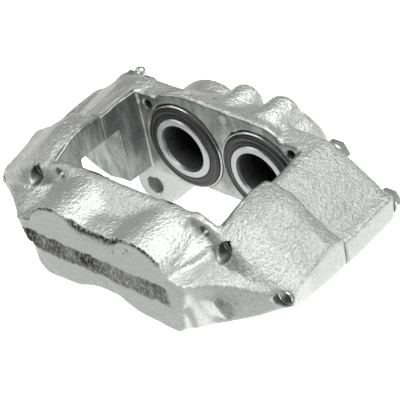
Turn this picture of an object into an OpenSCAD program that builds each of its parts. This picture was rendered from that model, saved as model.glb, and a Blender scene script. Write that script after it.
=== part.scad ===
// Fixed four piston brake caliper for a front wheel: two cast halves bolted together over the
// disc, with two opposed pistons in each half.
// X runs along the disc's rim, Y along the wheel axis towards the vehicle, Z away from the axle.
// The origin lies on the disc's middle plane, midway between the piston centres.

/* [Disc and pads] */
// Width of the slot that the brake disc runs in
slot_w = 34; // [31:0.5:37]
// Radius of the slot's roof about the wheel axis
slot_r = 158; // [155:0.5:159]
// Distance from the piston centres down to the wheel axis
axle_drop = 130; // [128:0.5:132]
// Distance between the two machined faces behind the pads
face_gap = 74; // [72:0.5:78]
// Length of the pad pocket at those faces
pocket_l = 129; // [127:0.5:129.5]
// Length of the window above the disc
window_l = 132; // [130:0.5:133]
// Distance from the disc's middle plane to the joint between the halves
joint_y = 5; // [3:0.5:7]

/* [Pistons] */
// Diameter of each piston
piston_d = 42.8; // [40:0.1:43.2]
// Distance between the two piston centres of one half
piston_pitch = 60.8; // [60:0.1:61.5]
// Length of each piston
piston_l = 32; // [30:0.5:32.5]
// Diameter of the hollow in the piston
cup_d = 32.8; // [28:0.1:34]
// Depth of the hollow in the piston
cup_depth = 25; // [18:0.5:26]
// How far the piston's rim stands out of the machined face when the pads are worn in
rim_out = 3; // [2:0.5:4]
// Radial running fit of the piston in its bore
bore_fit = 0.05; // [0.02:0.01:0.1]
// Depth of each bore below the machined face
bore_depth = 31; // [30.5:0.5:31.5]

/* [Boots and seals] */
// Outer radius of the dust boot's bead
boot_r = 28.4; // [27.8:0.1:28.6]
// Outer radius of the spring ring that holds the boot
ring_r = 30; // [29.6:0.1:30.2]
// Depth of the recess that the boot sits in
boot_seat = 5; // [4:0.5:6]
// Width of the square section seal
seal_w = 4; // [3:0.5:4.5]
// Depth of the groove that the seal sits in
seal_t = 3; // [2.5:0.1:3.2]

/* [Bridge bolts] */
// Distance of the inner bolts from the middle
inner_bolt_x = 74.5; // [74:0.1:76]
// Height of the inner bolts above the piston centres
inner_bolt_z = 18.4; // [17:0.1:19]
// Shank diameter of the inner bolts
inner_bolt_d = 12; // [10:0.5:12]
// Distance of the outer bolts from the middle
outer_bolt_x = 110.8; // [109:0.1:111]
// Height of the outer bolts above the piston centres
outer_bolt_z = -2.1; // [-3:0.1:-1]
// Shank diameter of the outer bolts
outer_bolt_d = 10; // [8:0.5:10]

/* [Mounting] */
// Distance between the two holes that bolt the caliper to the steering knuckle
lug_pitch = 132; // [130:0.5:134]
// Distance of those holes below the piston centres
lug_drop = 42.4; // [41:0.1:44]
// Diameter of those holes
lug_hole_d = 12.8; // [12:0.1:13]
// Thickness of the mounting lugs
lug_t = 18; // [16:0.5:20]
// Distance between the two pad pins
pin_pitch = 114; // [113:0.5:115]
// Height of the pad pins above the piston centres
pin_z = 23.2; // [22.5:0.1:24]
// Diameter of the pad pin holes
pin_hole_d = 6.4; // [5.5:0.1:6.8]
// Thread diameter of the brake hose port
port_d = 9; // [8:0.5:10]

/* [Hidden] */
$fn = 72;

left = -1;
right = 1;
inboard = 1;
outboard = -1;
face_y = face_gap / 2;
piston_r = piston_d / 2;
bore_r = piston_r + bore_fit;
piston_x = piston_pitch / 2;
bore_end = face_y + bore_depth;
far = 200;

// Inboard half
arm_back = 54;
end_back = 52;
dome_r = 29.3;
dome_end = bore_end + 8;
port_boss = [1, 26, 11.7];
dome_boss = [30.4, 26, 12.7];
boss_end = 71;
land_y = face_y - 2;
lug_front = face_y - 1;

// Outboard half, as distances towards -Y
front = bore_end + 7;
lower_front = front - 1.5;
boss_front = face_y + 5;
hump_r = 27.5;
lip_z = 31;

// Small pieces
inner_bolt_tip = -38;
outer_bolt_tip = -34;
tap_ratio = 0.85;
crossover = [92.6, joint_y, 8.2];
bleed = [-89.5, arm_back + 1.5, 20.5];
bleed_thread_d = 8;

// A flat outline in X and Z, carried along Y from one distance to the other
module along_y(from, to) {
    translate([0, to, 0]) rotate([90, 0, 0]) linear_extrude(to - from) children();
}

// A flat outline in radius and distance, spun about the Y axis
module around_y() {
    rotate([-90, 0, 0]) rotate_extrude($fn = 96) children();
}

// A round rod along Y
module rod(r, from, to) {
    translate([0, from, 0]) rotate([-90, 0, 0]) cylinder(r = r, h = to - from);
}

// A round rod between any two points
module drilling(a, b, r) {
    d = b - a;
    flat = norm([d[0], d[1]]);
    translate(a) rotate([0, atan2(flat, d[2]), atan2(d[1], d[0])]) cylinder(r = r, h = norm(d));
}

// A body between a grid of top points and a grid of bottom points, whose rows run towards -Y
// and whose columns run towards +X
module slab(top, bottom) {
    rows = len(top);
    columns = len(top[0]);
    points = concat([for (row = top) each row], [for (row = bottom) each row]);
    function up(i, j) = i * columns + j;
    function down(i, j) = rows * columns + up(i, j);
    quads = concat(
        [for (i = [0:rows - 2], j = [0:columns - 2]) each [
            [up(i, j), up(i, j + 1), up(i + 1, j + 1), up(i + 1, j)],
            [down(i, j), down(i + 1, j), down(i + 1, j + 1), down(i, j + 1)]]],
        [for (j = [0:columns - 2]) each [
            [up(0, j + 1), up(0, j), down(0, j), down(0, j + 1)],
            [up(rows - 1, j), up(rows - 1, j + 1), down(rows - 1, j + 1), down(rows - 1, j)]]],
        [for (i = [0:rows - 2]) each [
            [up(i, 0), up(i + 1, 0), down(i + 1, 0), down(i, 0)],
            [up(i + 1, columns - 1), up(i, columns - 1), down(i, columns - 1),
                down(i + 1, columns - 1)]]]);
    polyhedron(points, [for (q = quads) each [[q[0], q[1], q[2]], [q[0], q[2], q[3]]]]);
}

// One row of such a grid at distance y, from pairs of X and Z
function row(y, outline) = [for (p = outline) [p[0], y, p[1]]];

// Turns a piece that is drawn on the inboard, right hand piston onto any of the four
module at_piston(side, half) {
    mirror([0, half == outboard ? 1 : 0, 0]) translate([side * piston_x, 0, 0]) children();
}

// Copies a right hand shape to both ends
module both_ends() {
    for (side = [left, right]) mirror([side == left ? 1 : 0, 0, 0]) children();
}

// Holes, slots and recesses that both halves share
module disc_slot() {
    translate([0, 0, -axle_drop]) rod(slot_r, -slot_w / 2, slot_w / 2, $fn = 180);
}

module pad_window() {
    narrow = pocket_l / 2;
    wide = window_l / 2;
    flare = slot_w / 2 + 3;
    translate([0, 0, -far / 2]) linear_extrude(far) polygon([
        [-wide, -flare], [-narrow, -face_y], [narrow, -face_y], [wide, -flare],
        [wide, flare], [narrow, face_y], [-narrow, face_y], [-wide, flare]]);
}

module piston_bore() {
    around_y() polygon([
        [0, face_y - 5], [ring_r, face_y - 5], [ring_r, face_y + boot_seat],
        [bore_r, face_y + boot_seat], [bore_r, bore_end], [0, bore_end + 2]]);
    seal_from = face_y + boot_seat + 4;
    around_y() polygon([
        [0, seal_from], [bore_r + seal_t, seal_from],
        [bore_r + seal_t, seal_from + seal_w], [0, seal_from + seal_w]]);
}

module bolt_holes(fit, from, to) {
    both_ends() {
        translate([inner_bolt_x, 0, inner_bolt_z])
            rod(inner_bolt_d / 2 + fit, max(from, inner_bolt_tip), to);
        translate([outer_bolt_x, 0, outer_bolt_z]) rod(outer_bolt_d / 2 + fit, from, to);
    }
}

// Inboard half: arms, crown and lugs
module inboard_arm(rise) {
    edge = rise / 2;
    slab([
        row(arm_back, [[60, 30], [72, 30], [84, 24 + rise], [92, 19 + rise], [100, 13.5 + rise],
            [109, 6.5 + rise], [116.5, 5 + edge]]),
        row(arm_back - 5, [[60, 30 + edge], [72, 31 + edge], [84, 26 + rise], [92, 21 + rise],
            [100, 15.5 + rise], [110, 8.2 + rise], [118, 6.8 + edge]]),
        row(joint_y + 15, [[60, 27 + rise], [72, 30 + edge], [84, 24.5 + edge], [92, 19 + edge],
            [100, 13.5 + edge], [109.5, 6.3 + edge], [118, 6 + edge]]),
        row(joint_y, [[60, 27 + rise], [72, 28.5 + edge], [84, 23 + edge], [92, 17.2 + edge],
            [100, 11.5 + edge], [109, 5.4 + edge], [117.5, 5 + edge]])
    ], [
        row(arm_back, [[60, -27], [72, -27], [84, -28], [92, -26], [100, -22.5], [109, -16],
            [116.5, -7.5]]),
        row(arm_back - 5, [[60, -27], [72, -27], [84, -29], [92, -27], [101, -23], [110, -16.5],
            [118, -9]]),
        row(joint_y + 15, [[60, -27], [72, -27], [84, -29], [92, -27], [101, -23], [110, -17],
            [118, -10]]),
        row(joint_y, [[60, -27], [72, -27], [84, -29], [92, -27], [101, -23], [110, -17.5],
            [117.5, -10]])
    ]);
}

module crown() {
    hull() {
        along_y(face_y, face_y + 1) polygon([
            [-50, -20], [-50, 31.5], [-40, 37], [-25, 40.6], [2, 38.5], [21, 37.5], [39, 38],
            [48, 34], [48, -20]]);
        along_y(face_y + 24, face_y + 25) polygon([
            [-44, -14], [-44, 16], [-36, 26], [-8, 31], [30, 30], [38, 24], [44, 14], [44, -14]]);
    }
}

module body_plate() {
    along_y(face_y, arm_back) polygon([
        [-66, 31.5], [66, 30.5], [66, -28], [22, -28], [-22, -28], [-66, -28]]);
    both_ends() along_y(face_y, arm_back) polygon([
        [20, -27], [22, -28], [30.5, -32], [36, -37], [54, -54], [82, -42], [82, -26]]);
    both_ends() translate([lug_pitch / 2, 0, -lug_drop]) {
        rod(16, lug_front + 1, lug_front + lug_t);
        rod(14, lug_front, lug_front + lug_t + 1);
    }
}

module rounded_boss(r, from, to, edge) {
    arc = [for (a = [0:15:90]) [r - edge + edge * cos(a), to - edge + edge * sin(a)]];
    around_y() polygon(concat([[0, from], [r, from]], arc, [[0, to]]));
}

module inboard_ports() {
    translate([port_boss[0], 0, port_boss[1]]) rod(port_d / 2, boss_end - 12, boss_end + 1);
    drilling([port_boss[0], boss_end - 12, port_boss[1]], [0, bore_end - 3, 0], 2);
    drilling([-piston_x, bore_end - 3, 0], [piston_x, bore_end - 3, 0], 2);
    drilling(crossover, [46, bore_end - 2, 2], 2);
    translate(bleed) rod(bleed_thread_d / 2 + 0.05, -10, 1);
    drilling(bleed + [0, -9, 0], bleed + [0, -9, -17], 1.5);
    drilling(bleed + [0, -9, -14], [-46, bore_end - 1, 2], 2);
}

module inboard_housing() {
    color("#b9bcbc") difference() {
        union() {
            inboard_arm(rise = 0);
            mirror([1, 0, 0]) inboard_arm(rise = 4);
            crown();
            body_plate();
            for (side = [left, right])
                at_piston(side, inboard) rounded_boss(dome_r, face_y + 2, dome_end, 8);
            translate([port_boss[0], 0, port_boss[1]])
                rounded_boss(port_boss[2], face_y + 10, boss_end, 4);
            translate([dome_boss[0], 0, dome_boss[1]])
                rounded_boss(dome_boss[2], face_y + 10, boss_end, 5);
            translate([bleed[0], 0, bleed[2]]) rounded_boss(6.4, arm_back - 6, bleed[1], 1);
            both_ends() translate([pin_pitch / 2, 0, pin_z]) rod(6.5, land_y, face_y + 2);
        }
        disc_slot();
        pad_window();
        for (side = [left, right]) at_piston(side, inboard) piston_bore();
        both_ends() translate([lug_pitch / 2, 0, -lug_drop])
            rod(lug_hole_d / 2, lug_front - 1, lug_front + lug_t + 2);
        both_ends() translate([pin_pitch / 2, 0, pin_z])
            rod(pin_hole_d / 2, land_y - 1, arm_back - 4);
        bolt_holes(0.3, joint_y - 1, dome_end);
        inboard_ports();
        translate(crossover) rod(4.5, -1, 1.6);
        both_ends() translate([outer_bolt_x, 0, outer_bolt_z]) rod(8, end_back, dome_end);
    }
}

// Outboard half: arms, humps over the pistons, lip and pin bosses
module outboard_arm() {
    slab([
        row(joint_y, [[60, 30], [72, 30.5], [83, 28], [91, 22], [99, 16], [108, 9.5], [117, 6.5]]),
        row(joint_y - 3, [[60, 31.5], [72, 32.5], [84, 31], [92, 25.5], [101, 17.5], [110, 12],
            [117.3, 9.5]]),
        row(-8, [[60, 33], [73, 33.5], [84, 32], [93, 27], [102, 20.5], [111, 15], [117.5, 12]]),
        row(-18, [[60, 32], [73, 32.5], [84, 30.5], [93, 25], [102, 18], [111, 11.5], [117, 8]]),
        row(-29, [[60, 28], [73, 29.5], [84, 27.5], [93, 22], [102, 15], [111, 9], [117, 5.5]]),
        [[60, -42.5, 14], [69, -43, 25], [84, -44.5, 21.5], [93, -44, 16.5], [102, -43.5, 10.5],
            [110, -42.5, 6], [117, -39, 3.5]],
        [[60, -52, 11], [73, -51, 12.5], [84, -52, 11], [93, -51, 8.5], [102, -48.5, 5],
            [110, -45.5, 1.5], [117, -41.5, -1.5]],
        [[50, -front, 12.5], [66, -front, 10], [80, -64.5, 10.5], [90, -58.3, 8.5],
            [100, -52.2, 4.5], [109, -46.6, -1], [117, -42.6, -5]]
    ], [
        row(joint_y, [[60, -26], [72, -26], [83, -26], [91, -25], [99, -23], [109, -18.5],
            [117, -9]]),
        row(joint_y - 3, [[60, -26], [72, -26], [84, -26], [92, -25], [101, -23], [110, -18],
            [117.3, -9]]),
        row(-8, [[60, -27], [73, -27], [84, -27], [93, -25], [102, -22], [111, -16], [117.5, -9]]),
        row(-18, [[60, -28], [73, -28], [84, -28], [93, -25.5], [102, -21], [111, -14.5], [117, -9]]),
        row(-29, [[60, -28], [73, -28], [84, -27.5], [93, -24.5], [102, -19.5], [111, -13],
            [117, -8.5]]),
        [[60, -40, -28], [73, -38, -28], [84, -37, -27], [93, -36, -23], [102, -35, -18],
            [110, -34, -12.5], [117, -33, -8.3]],
        [[56, -58, -27.5], [66, -52, -27.5], [78, -48, -26], [88, -45, -22], [98, -42, -17],
            [108, -40, -11.5], [117, -37, -8]],
        [[52, -73.5, -27], [63, -68, -27.3], [70, -59, -27.6], [82, -54, -23], [95, -49, -18],
            [106, -45, -11.5], [117, -40, -7.5]]
    ]);
}

module hump_body() {
    for (side = [left, right]) at_piston(side, outboard) {
        translate([0, face_y, 0]) rotate([-90, 0, 0])
            cylinder(r1 = lip_z, r2 = hump_r, h = front - face_y, $fn = 120);
    }
    along_y(-front, -face_y) polygon([
        [-62, -8], [-66, 0], [-66, 3], [-50, 13.5], [-45, 18], [45, 18], [50, 13.5], [66, 3],
        [66, 0], [62, -8]]);
    along_y(-lower_front, -face_y) polygon([
        [-60, -7], [-60, -24], [-54, -30.5], [-42, -30.5], [-24, -25], [0, -22.5],
        [24, -25], [42, -30.5], [54, -30.5], [60, -24], [60, -7]]);
}

module lip() {
    reach = pin_pitch / 2 - 10;
    translate([-reach, 0, 0]) rotate([90, 0, 90]) linear_extrude(2 * reach) polygon([
        [-face_y, -8], [-face_y, lip_z - 1], [-face_y - 1, lip_z], [-face_y - 5, lip_z],
        [-face_y - 20, 20], [-front, 17], [-front, -8]]);
}

// Boss around the outboard end of a pad pin, with a wedge that runs down to the front corner
module pin_boss() {
    along_y(-boss_front, -face_y) polygon([
        [46, 0], [46, 31], [52, 31], [60, 29], [66, 26], [70, 24], [70, 0]]);
    hull() {
        along_y(-boss_front - 1, -boss_front) polygon([
            [46, 5], [50, 17], [56, 19.5], [62, 17], [66, 8], [66, 0]]);
        translate([51, 2 - front, 11.5]) sphere(r = 2, $fn = 16);
    }
}

module outboard_housing() {
    color("#c2c5c4") difference() {
        union() {
            both_ends() outboard_arm();
            hump_body();
            lip();
            both_ends() pin_boss();
        }
        disc_slot();
        pad_window();
        for (side = [left, right]) at_piston(side, outboard) piston_bore();
        both_ends() translate([pin_pitch / 2, 0, pin_z]) {
            rod(pin_hole_d / 2, -far, -face_y + 3);
        }
        bolt_holes(0.05, -far, joint_y + 1);
        both_ends() translate([inner_bolt_x, 0, inner_bolt_z])
            rod(inner_bolt_d * tap_ratio / 2, -far, inner_bolt_tip + 1);
        drilling([-piston_x, 3 - bore_end, 0], [piston_x, 3 - bore_end, 0], 2);
        drilling(crossover, [46, 2 - bore_end, 2], 2);
    }
}

// Bolts that hold the halves together, with a flanged hexagon on the inboard side
module bridge_bolt(d, head_r, seat_y, tip_y) {
    chamfer = 1;
    flange_t = 1.5;
    around_y() polygon([
        [0, tip_y], [d / 2 - chamfer, tip_y], [d / 2, tip_y + chamfer], [d / 2, seat_y],
        [head_r, seat_y], [head_r, seat_y + flange_t], [0, seat_y + flange_t]]);
    translate([0, seat_y + 1, 0]) rotate([-90, 0, 0]) cylinder(r = head_r, h = 5, $fn = 6);
}

module inner_bridge_bolts() {
    color("#a9adab") both_ends() translate([inner_bolt_x, 0, inner_bolt_z])
        bridge_bolt(inner_bolt_d, 8.2, arm_back, inner_bolt_tip + 1);
}

module outer_bridge_bolts() {
    color("#a9adab") both_ends() translate([outer_bolt_x, 0, outer_bolt_z])
        bridge_bolt(outer_bolt_d, 7.4, end_back, outer_bolt_tip);
}

// Cup shaped piston, open towards the pad
module piston(side, half) {
    rim_y = face_y - rim_out;
    cup_r = cup_d / 2;
    color("#8f9391") at_piston(side, half) around_y() polygon([
        [0, rim_y + cup_depth], [cup_r - 3, rim_y + cup_depth], [cup_r - 0.5, rim_y + cup_depth - 3],
        [cup_r, rim_y + 2], [cup_r + 0.6, rim_y], [piston_r - 0.6, rim_y], [piston_r, rim_y + 0.6],
        [piston_r, rim_y + piston_l - 1], [piston_r - 1, rim_y + piston_l], [0, rim_y + piston_l]]);
}

// Square section ring that seals the piston and pulls it back
module piston_seal(side, half) {
    from = face_y + boot_seat + 4;
    color("#2a2a2a") at_piston(side, half) around_y() polygon([
        [piston_r + 0.1, from + 0.1], [bore_r + seal_t, from + 0.1],
        [bore_r + seal_t, from + seal_w - 0.1], [piston_r + 0.1, from + seal_w - 0.1]]);
}

// Rubber boot that bulges out of its recess around the piston
module dust_boot(side, half) {
    inner = piston_r + 0.3;
    seat_y = face_y + boot_seat;
    bulge = [for (a = [0:15:180])
        [(inner + boot_r) / 2 + (boot_r - inner) / 2 * cos(a), face_y + 0.2 - 2.6 * sin(a)]];
    color("#1d1e1d") at_piston(side, half) around_y() polygon(concat(
        [[boot_r, seat_y]], bulge, [[inner, face_y + 3], [boot_r - 3, face_y + 3], [boot_r - 3, seat_y]]));
}

// Spring steel ring around the boot's bead
module boot_ring(side, half) {
    color("#cfd2d1") at_piston(side, half) around_y() polygon([
        [boot_r + 0.05, face_y + boot_seat], [boot_r + 0.05, face_y - 0.4],
        [boot_r + 0.6, face_y - 0.8], [ring_r - 0.5, face_y - 0.8], [ring_r, face_y - 0.3],
        [ring_r, face_y + boot_seat]]);
}

// Ring that seals the fluid passage across the joint
module crossover_seal() {
    color("#2a2a2a") translate(crossover) around_y() polygon([
        [2.6, 0], [4.5, 0], [4.5, 1.6], [2.6, 1.6]]);
}

// Screw with a hose nipple that lets air out of the fluid
module bleed_screw() {
    thread_r = bleed_thread_d / 2;
    color("#b9b9ad") translate(bleed) {
        difference() {
            union() {
                around_y() polygon([
                    [0, -9.5], [1.5, -9.5], [thread_r, -7], [thread_r, 0.3], [4.6, 0.3], [4.6, 5],
                    [2.6, 6], [2.6, 7.5], [4, 8.5], [4.2, 10.5], [3, 13], [0, 13]]);
                translate([0, 0.4, 0]) rotate([-90, 0, 0]) cylinder(r = 5.5, h = 4.4, $fn = 6);
            }
            rod(1, 2, 14, $fn = 24);
        }
    }
}

inboard_housing();
outboard_housing();
inner_bridge_bolts();
outer_bridge_bolts();
piston(left, inboard);  // piston_inboard_left
piston(right, inboard);  // piston_inboard_right
piston(left, outboard);  // piston_outboard_left
piston(right, outboard);  // piston_outboard_right
piston_seal(left, inboard);  // piston_seal_inboard_left
piston_seal(right, inboard);  // piston_seal_inboard_right
piston_seal(left, outboard);  // piston_seal_outboard_left
piston_seal(right, outboard);  // piston_seal_outboard_right
dust_boot(left, inboard);  // dust_boot_inboard_left
dust_boot(right, inboard);  // dust_boot_inboard_right
dust_boot(left, outboard);  // dust_boot_outboard_left
dust_boot(right, outboard);  // dust_boot_outboard_right
boot_ring(left, inboard);  // boot_ring_inboard_left
boot_ring(right, inboard);  // boot_ring_inboard_right
boot_ring(left, outboard);  // boot_ring_outboard_left
boot_ring(right, outboard);  // boot_ring_outboard_right
crossover_seal();
bleed_screw();
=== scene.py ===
"""Looks for a four piston brake caliper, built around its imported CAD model."""

from math import cos, pi, radians, sin

import bmesh
import bpy
import numpy as np
from mathutils import Matrix, Vector
from mathutils.bvhtree import BVHTree


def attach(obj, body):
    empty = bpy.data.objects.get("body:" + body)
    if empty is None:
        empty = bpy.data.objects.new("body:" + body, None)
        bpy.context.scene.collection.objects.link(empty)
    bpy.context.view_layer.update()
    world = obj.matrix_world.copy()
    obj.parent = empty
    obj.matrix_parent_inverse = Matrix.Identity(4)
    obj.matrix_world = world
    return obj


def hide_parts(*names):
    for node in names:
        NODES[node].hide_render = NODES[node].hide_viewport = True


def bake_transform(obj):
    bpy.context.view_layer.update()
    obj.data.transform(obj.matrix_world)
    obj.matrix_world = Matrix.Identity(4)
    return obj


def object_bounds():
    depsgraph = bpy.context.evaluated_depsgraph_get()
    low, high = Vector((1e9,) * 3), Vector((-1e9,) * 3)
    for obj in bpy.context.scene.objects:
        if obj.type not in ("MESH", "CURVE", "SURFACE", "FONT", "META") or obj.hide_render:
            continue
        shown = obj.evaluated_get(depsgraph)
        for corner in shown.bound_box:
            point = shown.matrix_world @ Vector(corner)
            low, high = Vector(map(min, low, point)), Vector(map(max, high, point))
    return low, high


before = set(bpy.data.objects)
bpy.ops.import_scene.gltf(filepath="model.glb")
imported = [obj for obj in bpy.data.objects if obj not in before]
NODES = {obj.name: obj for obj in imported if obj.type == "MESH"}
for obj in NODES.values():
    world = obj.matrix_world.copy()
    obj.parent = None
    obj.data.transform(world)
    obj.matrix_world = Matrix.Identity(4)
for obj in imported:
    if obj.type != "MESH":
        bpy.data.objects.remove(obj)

CAD_BOX = [list(corner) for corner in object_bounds()]
MM = 0.001
MAIN_BODY = "caliper"
HALVES = (("inboard", 1), ("outboard", -1))
SIDES = (("left", -1), ("right", 1))

# Sizes of the CAD model, in millimetres: X runs along the disc's rim, Y along the wheel axis
# towards the vehicle and Z away from the axle
FACE_Y = 37.0
FACE_HALF_L = 67.0
FACE_Z = (-29, 38)
POCKET_END_X = (63.5, 66.8)
JOINT_Y = 5.0
SLOT_Y = 17.0
SLOT_R = 158.0
AXLE_DROP = 130.0
PISTON_X = 30.4
RING_R = 30.0
BOOT_SEAT_Y = 42.0
BORE_END_Y = 70.0
LUG_FACE_Y = 36.0
LUG_FACE_R = 14.0

# Holes of both ends, as distance from the middle, height and radius
INNER_BOLT = (74.5, 18.4, 6.3)
OUTER_BOLT = (110.8, -2.1, 5.3)
PAD_PIN = (57.0, 23.2, 3.2)
LUG = (66.0, -42.4, 6.4)
TAPPED_R = 5.1

# The bleed screw's hole and the boss around it
BLEED_X = -89.5
BLEED_Z = 20.5
BLEED_R = 4.05
BLEED_BOSS_R = 6.4
BLEED_SEAT_Y = 55.5

# How the castings are rebuilt
VOXEL = 0.8
NEAR = 0.75
HOLE_EDGE = 0.6
ROUNDING = 26
SADDLE_ROUNDING = 60
SADDLE_LIFT = 4.5

# Marks on the outboard casting's front: the parting strip, a painted shadow along the humps' top
# edge and a tooth with painted shade in its notch
STRIP_X = (-68, 50)
STRIP_Z = (-8.5, 3.0)
EDGE_SHADOW_X = (-60, 52)
TOOTH_TOP = -1.5
TOOTH_DROP = 16.0
TOOTH_LEFT = 69.0
TOOTH_X = 76.0
TOOTH_LEAN = 5.5
TOOTH_H = 5.5


# ---------------------------------------------------------------- noise and masks
def lattice(ix, iy, iz, seed):
    """A repeatable value from -1 to 1 for each whole-number point."""
    h = (ix * 374761393 + iy * 668265263 + iz * 2147483647 + seed * 974711) & 0xFFFFFFFF
    h = ((h ^ (h >> 13)) * 1274126177) & 0xFFFFFFFF
    h = ((h ^ (h >> 15)) * 2246822519) & 0xFFFFFFFF
    return (h ^ (h >> 16)) / 2147483647.5 - 1.0


def noise(p, size, seed):
    """Smooth noise from -1 to 1 at points p, with lumps of about that size in millimetres."""
    q = p / size + 1000.0
    cell = np.floor(q).astype(np.int64)
    f = q - cell
    f = f * f * f * (f * (f * 6 - 15) + 10)
    total = np.zeros(len(p))
    for dx in (0, 1):
        wx = f[:, 0] if dx else 1 - f[:, 0]
        for dy in (0, 1):
            wy = f[:, 1] if dy else 1 - f[:, 1]
            for dz in (0, 1):
                wz = f[:, 2] if dz else 1 - f[:, 2]
                total += wx * wy * wz * lattice(
                    cell[:, 0] + dx, cell[:, 1] + dy, cell[:, 2] + dz, seed)
    return total


def step(value, low, high):
    """0 below low, 1 above high, smooth between; low may be the larger."""
    t = np.clip((value - low) / (high - low), 0, 1)
    return t * t * (3 - 2 * t)


def band(value, low, high, edge):
    """1 from low to high, fading to 0 over the edge distance outside."""
    return step(value, low - edge, low) * step(value, high + edge, high)


# ---------------------------------------------------------------- mesh tools
def new_object(name, mesh, body=MAIN_BODY):
    """Links a mesh as a piece, on a body where one is given."""
    obj = bpy.data.objects.new(name, mesh)
    bpy.context.scene.collection.objects.link(obj)
    if body:
        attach(obj, body)
    return obj


def mesh_from(bm, name):
    """Turns a finished bmesh into a mesh whose faces all point outwards."""
    bmesh.ops.recalc_face_normals(bm, faces=bm.faces)
    mesh = bpy.data.meshes.new(name)
    bm.to_mesh(mesh)
    bm.free()
    return mesh


def shade_smooth(mesh):
    for poly in mesh.polygons:
        poly.use_smooth = True


def remeshed(node):
    """A copy of a CAD node's mesh, rebuilt in even quads."""
    source = NODES[node].data.copy()
    bm = bmesh.new()
    bm.from_mesh(source)
    bmesh.ops.remove_doubles(bm, verts=bm.verts, dist=1e-6)
    bm.to_mesh(source)
    bm.free()
    temp = bpy.data.objects.new("temp_" + node, source)
    bpy.context.scene.collection.objects.link(temp)
    remesh = temp.modifiers.new("voxels", "REMESH")
    remesh.mode = "VOXEL"
    remesh.voxel_size = VOXEL * MM
    remesh.adaptivity = 0
    bpy.context.view_layer.update()
    mesh = bpy.data.meshes.new_from_object(
        temp.evaluated_get(bpy.context.evaluated_depsgraph_get()))
    bpy.data.objects.remove(temp)
    bpy.data.meshes.remove(source)
    return mesh


def points(mesh):
    """The mesh's points in millimetres, one row each."""
    co = np.empty(len(mesh.vertices) * 3, np.float32)
    mesh.vertices.foreach_get("co", co)
    return co.reshape(-1, 3).astype(float) / MM


def normals(mesh):
    """The outward direction at each of the mesh's points."""
    n = np.empty(len(mesh.vertices) * 3, np.float32)
    mesh.vertex_normals.foreach_get("vector", n)
    return n.reshape(-1, 3).astype(float)


def put(mesh, co):
    """Moves the mesh's points to those places, in millimetres."""
    mesh.vertices.foreach_set("co", (co * MM).astype(np.float32).ravel())
    mesh.update()


def smoother(mesh):
    """Two functions: one moves points towards their neighbours' mean, one gives that mean."""
    pairs = np.empty(len(mesh.edges) * 2, np.int32)
    mesh.edges.foreach_get("vertices", pairs)
    a, b = pairs.reshape(-1, 2).T
    count = len(mesh.vertices)
    degree = np.maximum(np.bincount(a, minlength=count) + np.bincount(b, minlength=count), 1)

    def mean(values):
        return (np.bincount(a, values[b], count) + np.bincount(b, values[a], count)) / degree

    def smooth(co, weight, times):
        for _ in range(times):
            centre = np.stack([mean(co[:, k]) for k in range(3)], 1)
            co = co + weight[:, None] * (centre - co)
        return co

    return smooth, mean


def attribute(mesh, name, values):
    """Stores one number from 0 to 1 per point, for the material to read."""
    layer = mesh.attributes.new(name, "FLOAT", "POINT")
    layer.data.foreach_set("value", np.clip(values, 0, 1).astype(np.float32))


# ---------------------------------------------------------------- where a cutter left the surface
def about(p, x, z):
    """Distance of each point from a hole's axis on its own side."""
    return np.hypot(np.abs(p[:, 0]) - x, p[:, 2] - z)


def near_face(values, place):
    return np.abs(values - place) < NEAR


def pocket_mask(p):
    """The faces behind the pads, the pocket's ends and the disc slot."""
    x, y, z = np.abs(p[:, 0]), np.abs(p[:, 1]), p[:, 2]
    from_axle = np.hypot(p[:, 0], z + AXLE_DROP)
    faces = near_face(y, FACE_Y) & (x < FACE_HALF_L) & (z > FACE_Z[0]) & (z < FACE_Z[1])
    ends = (x > POCKET_END_X[0]) & (x < POCKET_END_X[1]) & (y < FACE_Y + NEAR)
    roof = (y < SLOT_Y + 0.8) & near_face(from_axle, SLOT_R)
    cheeks = near_face(y, SLOT_Y) & (from_axle < SLOT_R + NEAR)
    return faces | ends | roof | cheeks


def bore_mask(p, n):
    """The piston bores and the recesses that the boots sit in."""
    x, y, z = np.abs(p[:, 0]), np.abs(p[:, 1]), p[:, 2]
    bore = about(p, PISTON_X, 0)
    side = np.sign(p[:, 0])
    inward = -(n[:, 0] * side * (x - PISTON_X) + n[:, 2] * z) / np.maximum(bore, 1e-6)
    recess = (bore < RING_R + NEAR) & (y > FACE_Y - 1) & (y < BOOT_SEAT_Y + 1)
    recess &= (inward > -0.1) | (bore < RING_R - 1)
    deep = (bore < RING_R - 3) & (y > BOOT_SEAT_Y) & (y < BORE_END_Y)
    return recess | deep


def hole_mask(p):
    """The drilled holes, the lugs' faces and the bleed screw's seat."""
    mask = np.zeros(len(p), bool)
    for x, z, r in (INNER_BOLT, OUTER_BOLT, PAD_PIN, LUG):
        mask |= about(p, x, z) < r + HOLE_EDGE
    inner = about(p, INNER_BOLT[0], INNER_BOLT[1])
    around_tap = (inner > TAPPED_R + HOLE_EDGE) & (inner < INNER_BOLT[2] + 0.7)
    mask &= ~(around_tap & (p[:, 1] < -FACE_Y - 2))
    mask |= (about(p, LUG[0], LUG[1]) < LUG_FACE_R + NEAR) & near_face(p[:, 1], LUG_FACE_Y)
    bleed = np.hypot(p[:, 0] - BLEED_X, p[:, 2] - BLEED_Z)
    mask |= (bleed < BLEED_R + HOLE_EDGE) & (p[:, 1] > 44)
    mask |= (bleed < BLEED_BOSS_R) & near_face(p[:, 1], BLEED_SEAT_Y)
    return mask


def worn_edges(p, n, mean):
    """True in patches along the top edges of the two inner faces, where the castings are chipped."""
    flat = (np.abs(n[:, 1]) > 0.95).astype(float)
    for _ in range(2):
        flat = mean(flat)
    edge = (np.abs(np.abs(p[:, 1]) - FACE_Y) < 1.2) & (p[:, 2] > 22) & (flat < 0.75)
    return edge & (noise(p, 5.0, 20) > -0.35)


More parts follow.
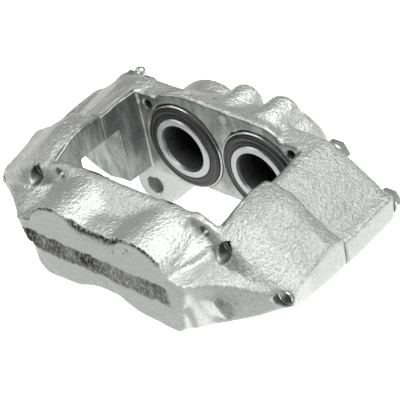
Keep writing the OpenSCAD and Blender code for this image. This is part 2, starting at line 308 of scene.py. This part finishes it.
def painted_light_and_mark(p):
    """How dark the machined metal is, as painted light: darker over the inner faces' upper part,
    lighter low down on them and in the lug holes. A light round mark sits on the inboard inner face.
    """
    x, y, z = p.T
    dark = 0.25 + 0.75 * step(z + 3 * noise(p, 12.0, 21), -34, -14)
    on_face = np.abs(np.abs(y) - FACE_Y) < 1.2
    dark = np.where(on_face | (z < -30), dark, 1.0)
    bright_spot = step(np.hypot(x - 6.5, z - 32.7), 3.2, 2.6)
    return np.where(on_face & (y > 0), dark * (1 - 0.9 * bright_spot), dark)


# ---------------------------------------------------------------- the sand-cast skin
def coarseness(p):
    """How coarse the skin is at each point."""
    x, y, z = p.T
    right_bridge = step(x, 62, 74) * step(z, -14, -4)
    left_bridge = step(x, -66, -80)
    humps = band(x, -62, 62, 6) * step(y, -38, -44) * step(z, 6, 14)
    lower_front = step(y, -50, -58) * step(z, -7, -10)
    end_faces = step(np.abs(x), 115.5, 117)
    coarse = 0.85 + 0.55 * right_bridge + 0.15 * left_bridge - 0.05 * humps
    return np.clip(coarse - 0.3 * lower_front - 0.5 * end_faces, 0.15, 1.6)


def parting_strip(p):
    """The rough dark strip along the front, strongest at the left."""
    x, y, z = p.T
    wander = 1.6 * noise(p, 9.0, 11) + 0.8 * noise(p, 3.0, 12)
    strip = band(x, *STRIP_X, 6) * band(z + wander, *STRIP_Z, 1.6) * step(y, -70, -72.5)
    return strip * (0.6 + 0.4 * step(noise(p, 12.0, 13) - x / 90, -0.5, 0.5))


def edge_shadow_line(p, n):
    """Painted shadow: a thin dark line along the top edge of the front, over both humps."""
    x, y, z = p.T
    edge = band(-n[:, 1], 0.28, 0.88, 0.12) * step(n[:, 2], 0.15, 0.35)
    edge *= step(y, -71.2, -72.8) * step(z, 8, 12) * band(x, *EDGE_SHADOW_X, 3)
    left_more = 0.6 * step(x, -25, -40) - 0.3 * step(x, 30, 50)
    return edge * step(noise(p, 14.0, 14) + left_more, -0.7, -0.2)


def tooth_crest(p):
    """How far down the tooth each point lies, from 0 to 1, and the crest's X there."""
    down = np.clip((TOOTH_TOP - p[:, 2]) / TOOTH_DROP, 0, 1)
    return down, TOOTH_X + TOOTH_LEAN * down


def tooth_front(p):
    """1 on the front of the arm, where the tooth stands, and 0 behind it."""
    return step(p[:, 1], -46, -49)


def tooth_notch_shade(p):
    """Painted shade in the crease on the right of the tooth's crest."""
    crest = tooth_crest(p)[1]
    return band(p[:, 0] - crest, 0.2, 1.0, 0.6) * band(p[:, 2], -17, -5, 3) * tooth_front(p)


def tooth_flank(p):
    """1 on the tooth's left flank, which is kept out of the painted shade so that it reads as lit.
    """
    crest = tooth_crest(p)[1]
    flank = step(p[:, 0], TOOTH_LEFT - 0.5, TOOTH_LEFT + 2) * step(p[:, 0], crest + 1.0, crest)
    return flank * tooth_front(p) * step(p[:, 2], -1, -4) * step(p[:, 2], -20, -18)


def tooth_height(p, n):
    """Height of the tooth-like rib low on the front of the right arm."""
    down, crest = tooth_crest(p)
    rise = np.clip((p[:, 0] - TOOTH_LEFT) / (crest - TOOTH_LEFT), 0, 1)
    height = TOOTH_H * np.sqrt(down) * rise * step(p[:, 0], crest + 1.4, crest)
    return height * tooth_front(p) * step(-n[:, 1], 0.1, 0.4) * step(p[:, 2], -19, -15)


def painted_front_shade(p, n):
    """Painted shade: 1 on the upright front, a little on the right bridge, and 0 elsewhere."""
    front = step(-n[:, 1], 0.55, 0.85) * step(p[:, 1], -40, -46) * (1 - tooth_flank(p))
    return np.maximum(front, 0.3 * step(p[:, 0], 66, 72) * step(p[:, 1], -32, -24))


def rounded(p, free, seam, smooth):
    """Rounds the cast edges and fills the saddle between the two humps."""
    x, y, z = np.abs(p[:, 0]), p[:, 1], p[:, 2]
    lip = step(y, -73.5, -74.2) * step(z, 2, 6)
    boss = band(x, 44, 68, 3) * step(y, -40, -42) * step(z, 4, 8)
    weight = 0.5 * free * np.where(seam, 0.35, 1.0) * (1 - 0.8 * lip) * (1 - 0.45 * boss)
    p = smooth(p, weight, ROUNDING)
    valley = step(np.abs(p[:, 0]), 17, 5) * step(p[:, 1], -50, -66) * step(p[:, 2], 13, 16)
    p[:, 2] += SADDLE_LIFT * valley
    saddle = band(p[:, 0], -14, 14, 8) * step(p[:, 2], 4, 9) * step(p[:, 1], -40, -46)
    return smooth(p, 0.5 * free * saddle, SADDLE_ROUNDING)


def casting(name, node):
    """A CAD casting with rounded cast edges and a rough skin between its machined surfaces."""
    mesh = remeshed(node)
    p, n = points(mesh), normals(mesh)
    smooth, mean = smoother(mesh)
    cut = (pocket_mask(p) | bore_mask(p, n) | hole_mask(p)) & ~worn_edges(p, n, mean)
    tree = BVHTree.FromObject(NODES[node], bpy.context.evaluated_depsgraph_get())
    for i in np.flatnonzero(cut):
        p[i] = np.array(tree.find_nearest(Vector(p[i] * MM))[0]) / MM
    free = 1.0 - cut
    seam = np.abs(p[:, 1] - JOINT_Y) < 1.2
    p = rounded(p, free, seam, smooth)
    put(mesh, p)
    n = normals(mesh)
    p = p + tooth_height(p, n)[:, None] * n

    skin = free.copy()
    for _ in range(3):
        skin = np.minimum(free, 0.5 * skin + 0.5 * mean(skin))
    skin = skin * np.where(seam, 0.0, 1.0)
    coarse = coarseness(p)
    # The parting strip is the casting's own dark scale. The tooth's notch and the line along the
    # humps' top edge are painted shade, and all three go into the strip attribute.
    dark = np.maximum(parting_strip(p), 0.4 * tooth_notch_shade(p))
    dark = np.maximum(dark, edge_shadow_line(p, n))
    rough = 0.19 * noise(p, 2.0, 1) + 0.10 * noise(p, 1.3, 2) + 0.07 * noise(p, 5.0, 3)
    swell = 0.15 * noise(p, 16.0, 4)
    pits = step(noise(p, 3.0, 5), 0.72, 0.88) * step(noise(p, 21.0, 6), 0.3, 0.6)
    ragged = dark * (0.55 * noise(p, 1.8, 7) + 0.45 * noise(p, 3.6, 8) - 0.35)
    height = skin * (coarse * (rough + swell) - 0.5 * pits + ragged)
    low, high = np.array(CAD_BOX) / MM
    p = np.clip(p + height[:, None] * n, low, high)
    put(mesh, p)

    # The machined mask carries painted light: the inner faces are darker over their upper part
    attribute(mesh, "machined", (1 - skin) * painted_light_and_mark(p))
    attribute(mesh, "coarse", coarse / 1.6)
    attribute(mesh, "strip", dark * skin)
    # The front attribute holds painted shade
    attribute(mesh, "front", mean(mean(painted_front_shade(p, n))))
    attribute(mesh, "pits", pits * skin)
    shade_smooth(mesh)
    obj = new_object(name, mesh)
    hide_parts(node)
    return obj


# ---------------------------------------------------------------- turned pieces
# Section of a dust boot, as pairs of radius and distance from the disc's middle plane
BOOT_PROFILE = [
    (28.4, 41.8), (28.4, 36.4), (28.3, 35.8), (28.0, 35.3), (27.4, 34.9), (26.6, 34.75),
    (25.8, 34.85), (25.2, 35.1), (24.8, 35.15), (24.2, 34.95), (23.4, 34.75), (22.6, 34.7),
    (22.0, 34.85), (21.7, 35.2), (21.6, 35.8), (21.6, 37.6), (22.2, 38.2), (23.6, 38.0),
    (25.4, 37.8), (26.6, 38.2), (26.9, 39.0), (26.9, 41.8)]
BOOT_SEGMENTS = 160


def boot(name, side, half):
    """A dust boot as a closed ring about a piston's axis."""
    bm = bmesh.new()
    rings = []
    for k in range(BOOT_SEGMENTS):
        a = 2 * pi * k / BOOT_SEGMENTS
        rings.append([bm.verts.new((
            (side * PISTON_X + r * cos(a)) * MM, half * y * MM, r * sin(a) * MM))
            for r, y in BOOT_PROFILE])
    for k in range(BOOT_SEGMENTS):
        here, there = rings[k], rings[(k + 1) % BOOT_SEGMENTS]
        for i in range(len(BOOT_PROFILE)):
            j = (i + 1) % len(BOOT_PROFILE)
            bm.faces.new((here[i], here[j], there[j], there[i]))
    mesh = mesh_from(bm, name)
    shade_smooth(mesh)
    return new_object(name, mesh, body=None)


# Threads left showing in the bolt holes of each end: hole, radius, pitch and the Y span
THREADS = ((INNER_BOLT, TAPPED_R, 1.75, -41.5, -37.5),
           (OUTER_BOLT, OUTER_BOLT[2] - 0.25, 1.5, -42.5, -34.5))
THREAD_STEPS = 36
# A ridge's section: its half width as a share of the pitch, its foot in the wall and its height
RIDGE_HALF_W = 0.42
RIDGE_FOOT = 0.25
RIDGE_H = 0.55


def thread(bm, x, z, radius, pitch, y_from, y_to):
    """One helical ridge that thins out at both ends."""
    steps = int(THREAD_STEPS * (y_to - y_from) / pitch)
    fade = THREAD_STEPS / 2
    last = None
    for k in range(steps + 1):
        a, y = 2 * pi * k / THREAD_STEPS, y_from + pitch * k / THREAD_STEPS
        ends = min(1.0, k / fade, (steps - k) / fade)
        ring = []
        for along, out in ((-RIDGE_HALF_W, RIDGE_FOOT), (0, -RIDGE_H * ends),
                           (RIDGE_HALF_W, RIDGE_FOOT)):
            r = radius + out
            ring.append(bm.verts.new((
                (x + r * cos(a)) * MM, (y + along * pitch) * MM, (z + r * sin(a)) * MM)))
        if last:
            for i in range(3):
                j = (i + 1) % 3
                bm.faces.new((last[i], last[j], ring[j], ring[i]))
        else:
            bm.faces.new(ring)
        last = ring
    bm.faces.new(last[::-1])


def bolt_hole_threads():
    bm = bmesh.new()
    for _, side in SIDES:
        for hole, radius, pitch, y_from, y_to in THREADS:
            thread(bm, side * hole[0], hole[1], radius, pitch, y_from, y_to)
    return new_object("bolt_hole_threads", mesh_from(bm, "bolt_hole_threads"))


# ---------------------------------------------------------------- materials
ZINC_DARK, ZINC, ZINC_LIGHT = (0.38, 0.39, 0.375), (0.55, 0.56, 0.545), (0.68, 0.685, 0.67)
ZINC_PATCH = (0.55, 0.565, 0.55)
CUT_DARK, CUT_MID, CUT_LIGHT = (0.19, 0.205, 0.195), (0.38, 0.40, 0.385), (0.50, 0.52, 0.50)
# Tone that the painted shade multiplies the skin by on the upright front
FRONT_SHADE = (0.50, 0.505, 0.50)
STRIP_AND_SHADE_BLACK = (0.022, 0.02, 0.018)
PIT_BROWN = (0.10, 0.10, 0.09)
STRIP_ROUGHNESS = (0.75, 0.75, 0.75)
UPRIGHT_STRETCH = (1, 1, 0.35)
GROUND_DARK, GROUND_LIGHT = (0.36, 0.37, 0.37), (0.47, 0.48, 0.48)
PAINTED_CUP_SHADE = (0.075, 0.074, 0.07)


class Shader:
    """A small helper that lays out one Principled material."""

    def __init__(self, name):
        self.material = bpy.data.materials.new(name)
        self.material.use_nodes = True
        self.tree = self.material.node_tree
        self.main = self.tree.nodes["Principled BSDF"]
        self.coords = self.tree.nodes.new("ShaderNodeTexCoord").outputs["Object"]

    def give(self, socket, value):
        """Links another node's output to the socket, or sets a plain value on it."""
        if isinstance(value, bpy.types.NodeSocket):
            self.tree.links.new(value, socket)
        else:
            socket.default_value = value

    def node(self, kind, inputs=(), **values):
        made = self.tree.nodes.new("ShaderNode" + kind)
        for key, value in values.items():
            setattr(made, key, value)
        for key, value in dict(inputs).items():
            self.give(made.inputs[key], value)
        return made

    def set(self, **values):
        for key, value in values.items():
            self.give(self.main.inputs[key.replace("_", " ")], value)

    def noise(self, size, detail=3.0, rough=0.55, stretch=None):
        where = self.coords
        if stretch:
            where = self.node("Mapping", {"Vector": where, "Scale": stretch}).outputs[0]
        return self.node("TexNoise", {"Vector": where, "Scale": 1 / (size * MM), "Detail": detail,
                                      "Roughness": rough}).outputs["Fac"]

    def cells(self, size):
        return self.node("TexVoronoi", {"Vector": self.coords, "Scale": 1 / (size * MM)},
                         feature="F1").outputs["Distance"]

    def field(self, name):
        return self.node("Attribute", attribute_name=name).outputs["Fac"]

    def ramp(self, fac, *stops):
        made = self.node("ValToRGB", {"Fac": fac})
        ramp = made.color_ramp
        while len(ramp.elements) < len(stops):
            ramp.elements.new(0.5)
        for element, (place, colour) in zip(ramp.elements, stops):
            element.position = place
            element.color = (*colour, 1) if isinstance(colour, tuple) else (colour,) * 3 + (1,)
        return made.outputs["Color"]

    def mix(self, fac, a, b, blend="MIX"):
        made = self.node("Mix", data_type="RGBA", blend_type=blend)
        for socket, value in ((made.inputs[0], fac), (made.inputs[6], a), (made.inputs[7], b)):
            self.give(socket, (*value, 1) if isinstance(value, tuple) else value)
        return made.outputs[2]

    def math(self, operation, a, b=0.0, c=0.0):
        return self.node("Math", {0: a, 1: b, 2: c}, operation=operation).outputs[0]

    def bump(self, height, distance, strength=1.0, normal=None):
        inputs = {"Height": height, "Distance": distance * MM, "Strength": strength}
        if normal is not None:
            inputs["Normal"] = normal
        return self.node("Bump", inputs).outputs[0]


def casting_material():
    """Zinc plated sand-cast iron, with satin machined faces."""
    s = Shader("zinc_plated_casting")
    machined, coarse = s.field("machined"), s.field("coarse")
    strip, pits = s.field("strip"), s.field("pits")
    fine, grain, patch = s.noise(1.0, 4), s.noise(1.9, 5), s.noise(22, 4)
    cells = s.cells(1.5)

    skin = s.ramp(fine, (0.30, ZINC_DARK), (0.5, ZINC), (0.70, ZINC_LIGHT))
    skin = s.mix(s.ramp(patch, (0.35, 0.0), (0.7, 0.3)), skin, ZINC_PATCH)
    # Machined metal: random mottling plus painted reflection streaks that run upright
    mottle_and_reflection = s.ramp(s.noise(7, 5, 0.6, UPRIGHT_STRETCH), (0.40, CUT_DARK), (0.62, CUT_MID))
    mottle_and_reflection = s.mix(s.ramp(s.noise(1.3, 4), (0.5, 0.0), (0.75, 0.5)), mottle_and_reflection, CUT_LIGHT)
    # Painted shade: the skin is darkened on the upright front and a little on the right bridge
    skin = s.mix(s.field("front"), skin, s.mix(1.0, skin, FRONT_SHADE, "MULTIPLY"))
    colour = s.mix(machined, skin, mottle_and_reflection)
    # The strip attribute darkens the parting strip, its own colour, and also lays painted shade in
    # the tooth's notch and along the humps' top edge
    streak = s.ramp(s.noise(1.2, 5, 0.6, UPRIGHT_STRETCH), (0.49, 1.0), (0.60, 0.2))
    colour = s.mix(s.math("MULTIPLY", strip, streak), colour, STRIP_AND_SHADE_BLACK)
    colour = s.mix(s.math("MULTIPLY", pits, 0.7), colour, PIT_BROWN)

    shine = s.ramp(grain, (0.3, 0.47), (0.7, 0.37))
    shine = s.mix(machined, shine, s.ramp(s.noise(3, 4), (0.3, 0.45), (0.7, 0.28)))
    height = s.math("MULTIPLY_ADD", cells, 0.5, fine)
    amount = s.math("MULTIPLY", s.math("SUBTRACT", 1.0, machined), coarse)
    normal = s.bump(height, 0.7, s.math("MULTIPLY_ADD", amount, 1.0, 0.08))
    normal = s.bump(grain, 1.0, s.math("MULTIPLY", amount, 0.9), normal)
    s.set(Base_Color=colour, Metallic=0.8, Roughness=s.mix(strip, shine, STRIP_ROUGHNESS),
          Normal=normal)
    return s.material


def steel_material(name, dark, light, rough, metallic, size):
    """Plain steel whose grain is about that size in millimetres."""
    s = Shader(name)
    grain = s.noise(size, 4)
    s.set(Base_Color=s.ramp(grain, (0.3, dark), (0.7, light)), Metallic=metallic,
          Roughness=s.ramp(s.noise(size * 4, 3), (0.3, rough + 0.08), (0.7, rough - 0.05)),
          Normal=s.bump(grain, 0.05, 0.6))
    return s.material


def piston_material():
    """Ground steel, with painted shade growing darker down inside the cup."""
    s = Shader("ground_piston_steel")
    grain = s.noise(1.1, 4)
    parts = s.node("SeparateXYZ", {"Vector": s.coords})
    out = s.math("ABSOLUTE", parts.outputs["Y"])
    # Painted shade: the deeper inside the cup, the darker the steel
    deep = s.node("MapRange", {"Value": out, "From Min": 34.6 * MM, "From Max": 50 * MM})
    colour = s.ramp(grain, (0.3, GROUND_DARK), (0.7, GROUND_LIGHT))
    s.set(Base_Color=s.mix(deep.outputs[0], colour, PAINTED_CUP_SHADE), Metallic=0.85,
          Roughness=s.ramp(s.noise(4, 3), (0.3, 0.36), (0.7, 0.26)),
          Normal=s.bump(grain, 0.05, 0.6))
    return s.material


def rubber_material(name, tone, rough):
    s = Shader(name)
    grain = s.noise(0.8, 4)
    s.set(Base_Color=s.ramp(s.noise(6, 4), (0.3, tone * 0.7), (0.7, tone * 1.5)), Metallic=0.0,
          Roughness=s.ramp(s.noise(2.5, 4), (0.3, rough - 0.06), (0.7, rough + 0.1)),
          Normal=s.bump(grain, 0.12, 0.7))
    return s.material


def wear(obj, material):
    """Gives a new piece its material."""
    obj.data.materials.clear()
    obj.data.materials.append(material)


def coat_node(node, material):
    """Gives a CAD node a better material in its own slots."""
    obj = NODES[node]
    if not obj.material_slots:
        obj.data.materials.append(material)
    for s in obj.material_slots:
        s.material = material


# ---------------------------------------------------------------- build
SKIN = casting_material()
BOLT = steel_material("plated_bolt_steel", (0.42, 0.44, 0.42), (0.68, 0.70, 0.67),
                      rough=0.34, metallic=0.9, size=1.2)
PISTON = piston_material()
RING = steel_material("bright_ring_steel", (0.28, 0.28, 0.28), (0.55, 0.56, 0.55),
                      rough=0.22, metallic=1.0, size=0.8)
BOOT = rubber_material("boot_rubber", tone=0.012, rough=0.42)
SEAL = rubber_material("seal_rubber", tone=0.02, rough=0.6)

for half_name, _ in HALVES:
    wear(casting(f"{half_name}_casting", f"{half_name}_housing"), SKIN)
wear(bolt_hole_threads(), BOLT)

for node in ("inner_bridge_bolts", "outer_bridge_bolts", "bleed_screw"):
    coat_node(node, BOLT)
coat_node("crossover_seal", SEAL)

for half_name, half in HALVES:
    for side_name, side in SIDES:
        where = f"{half_name}_{side_name}"
        coat_node(f"piston_seal_{where}", SEAL)
        coat_node(f"piston_{where}", PISTON)
        coat_node(f"boot_ring_{where}", RING)
        rubber = boot(f"rubber_boot_{where}", side, half)
        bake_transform(rubber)
        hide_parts(f"dust_boot_{where}")
        wear(rubber, BOOT)


# ---------------------------------------------------------------- stage, light and camera
def floor():
    """A wide pale floor just below the part."""
    size, gap = 6.0, 0.002
    mesh = bpy.data.meshes.new("studio_floor")
    z = CAD_BOX[0][2] - gap
    mesh.from_pydata([(-size, -size, z), (size, -size, z), (size, size, z), (-size, size, z)],
                     [], [(0, 1, 2, 3)])
    obj = new_object("studio_floor", mesh, body=None)
    s = Shader("pale_floor")
    s.set(Base_Color=s.ramp(s.noise(400, 2), (0.0, 0.90), (1.0, 0.93)), Roughness=0.9,
          Emission_Strength=0.72, Emission_Color=(1, 1, 1, 1))
    wear(obj, s.material)


def softbox(name, place, size, power):
    """A rectangular light, in metres and watts, that faces the part."""
    data = bpy.data.lights.new(name, "AREA")
    data.shape = "RECTANGLE"
    data.size, data.size_y = size
    data.energy = power
    obj = bpy.data.objects.new(name, data)
    bpy.context.scene.collection.objects.link(obj)
    obj.location = place
    obj.rotation_euler = (-Vector(place)).to_track_quat("-Z", "Y").to_euler()


def white_world(strength):
    world = bpy.data.worlds.new("studio")
    world.use_nodes = True
    background = world.node_tree.nodes["Background"].inputs
    background["Color"].default_value = (1, 1, 1, 1)
    background["Strength"].default_value = strength
    bpy.context.scene.world = world


def camera():
    """A long lens above the front right corner, rolled a little."""
    target = Vector((7.566, 5.0, -5.684)) * MM
    around, up_angle, tilt = radians(47.547), radians(36.731), radians(-11.783)
    distance, lens, sensor = 0.98217, 147.57, 36.0
    back = Vector((sin(around) * cos(up_angle), -cos(around) * cos(up_angle), sin(up_angle)))
    right = (-back).cross(Vector((0, 0, 1))).normalized()
    up = right.cross(-back)
    rolled_right = cos(tilt) * right + sin(tilt) * up
    rolled_up = cos(tilt) * up - sin(tilt) * right
    data = bpy.data.cameras.new("camera")
    data.lens, data.sensor_width = lens, sensor
    data.clip_start, data.clip_end = 0.05, 20
    obj = bpy.data.objects.new("camera", data)
    bpy.context.scene.collection.objects.link(obj)
    place = target + back * distance
    obj.matrix_world = Matrix((
        (rolled_right.x, rolled_up.x, back.x, place.x),
        (rolled_right.y, rolled_up.y, back.y, place.y),
        (rolled_right.z, rolled_up.z, back.z, place.z),
        (0, 0, 0, 1)))
    bpy.context.scene.camera = obj


floor()
softbox("overhead_box", (0.35, 0.26, 1.0), (1.1, 0.9), 12.5)
softbox("front_box", (0.0, -0.3, 1.0), (0.5, 0.5), 3.5)
softbox("left_box", (-0.8, -0.7, 0.8), (0.8, 0.8), 4.5)
softbox("right_box", (1.1, -0.25, 0.6), (0.45, 0.7), 2)
white_world(0.15)
bpy.context.scene.view_settings.view_transform = "Standard"
camera()
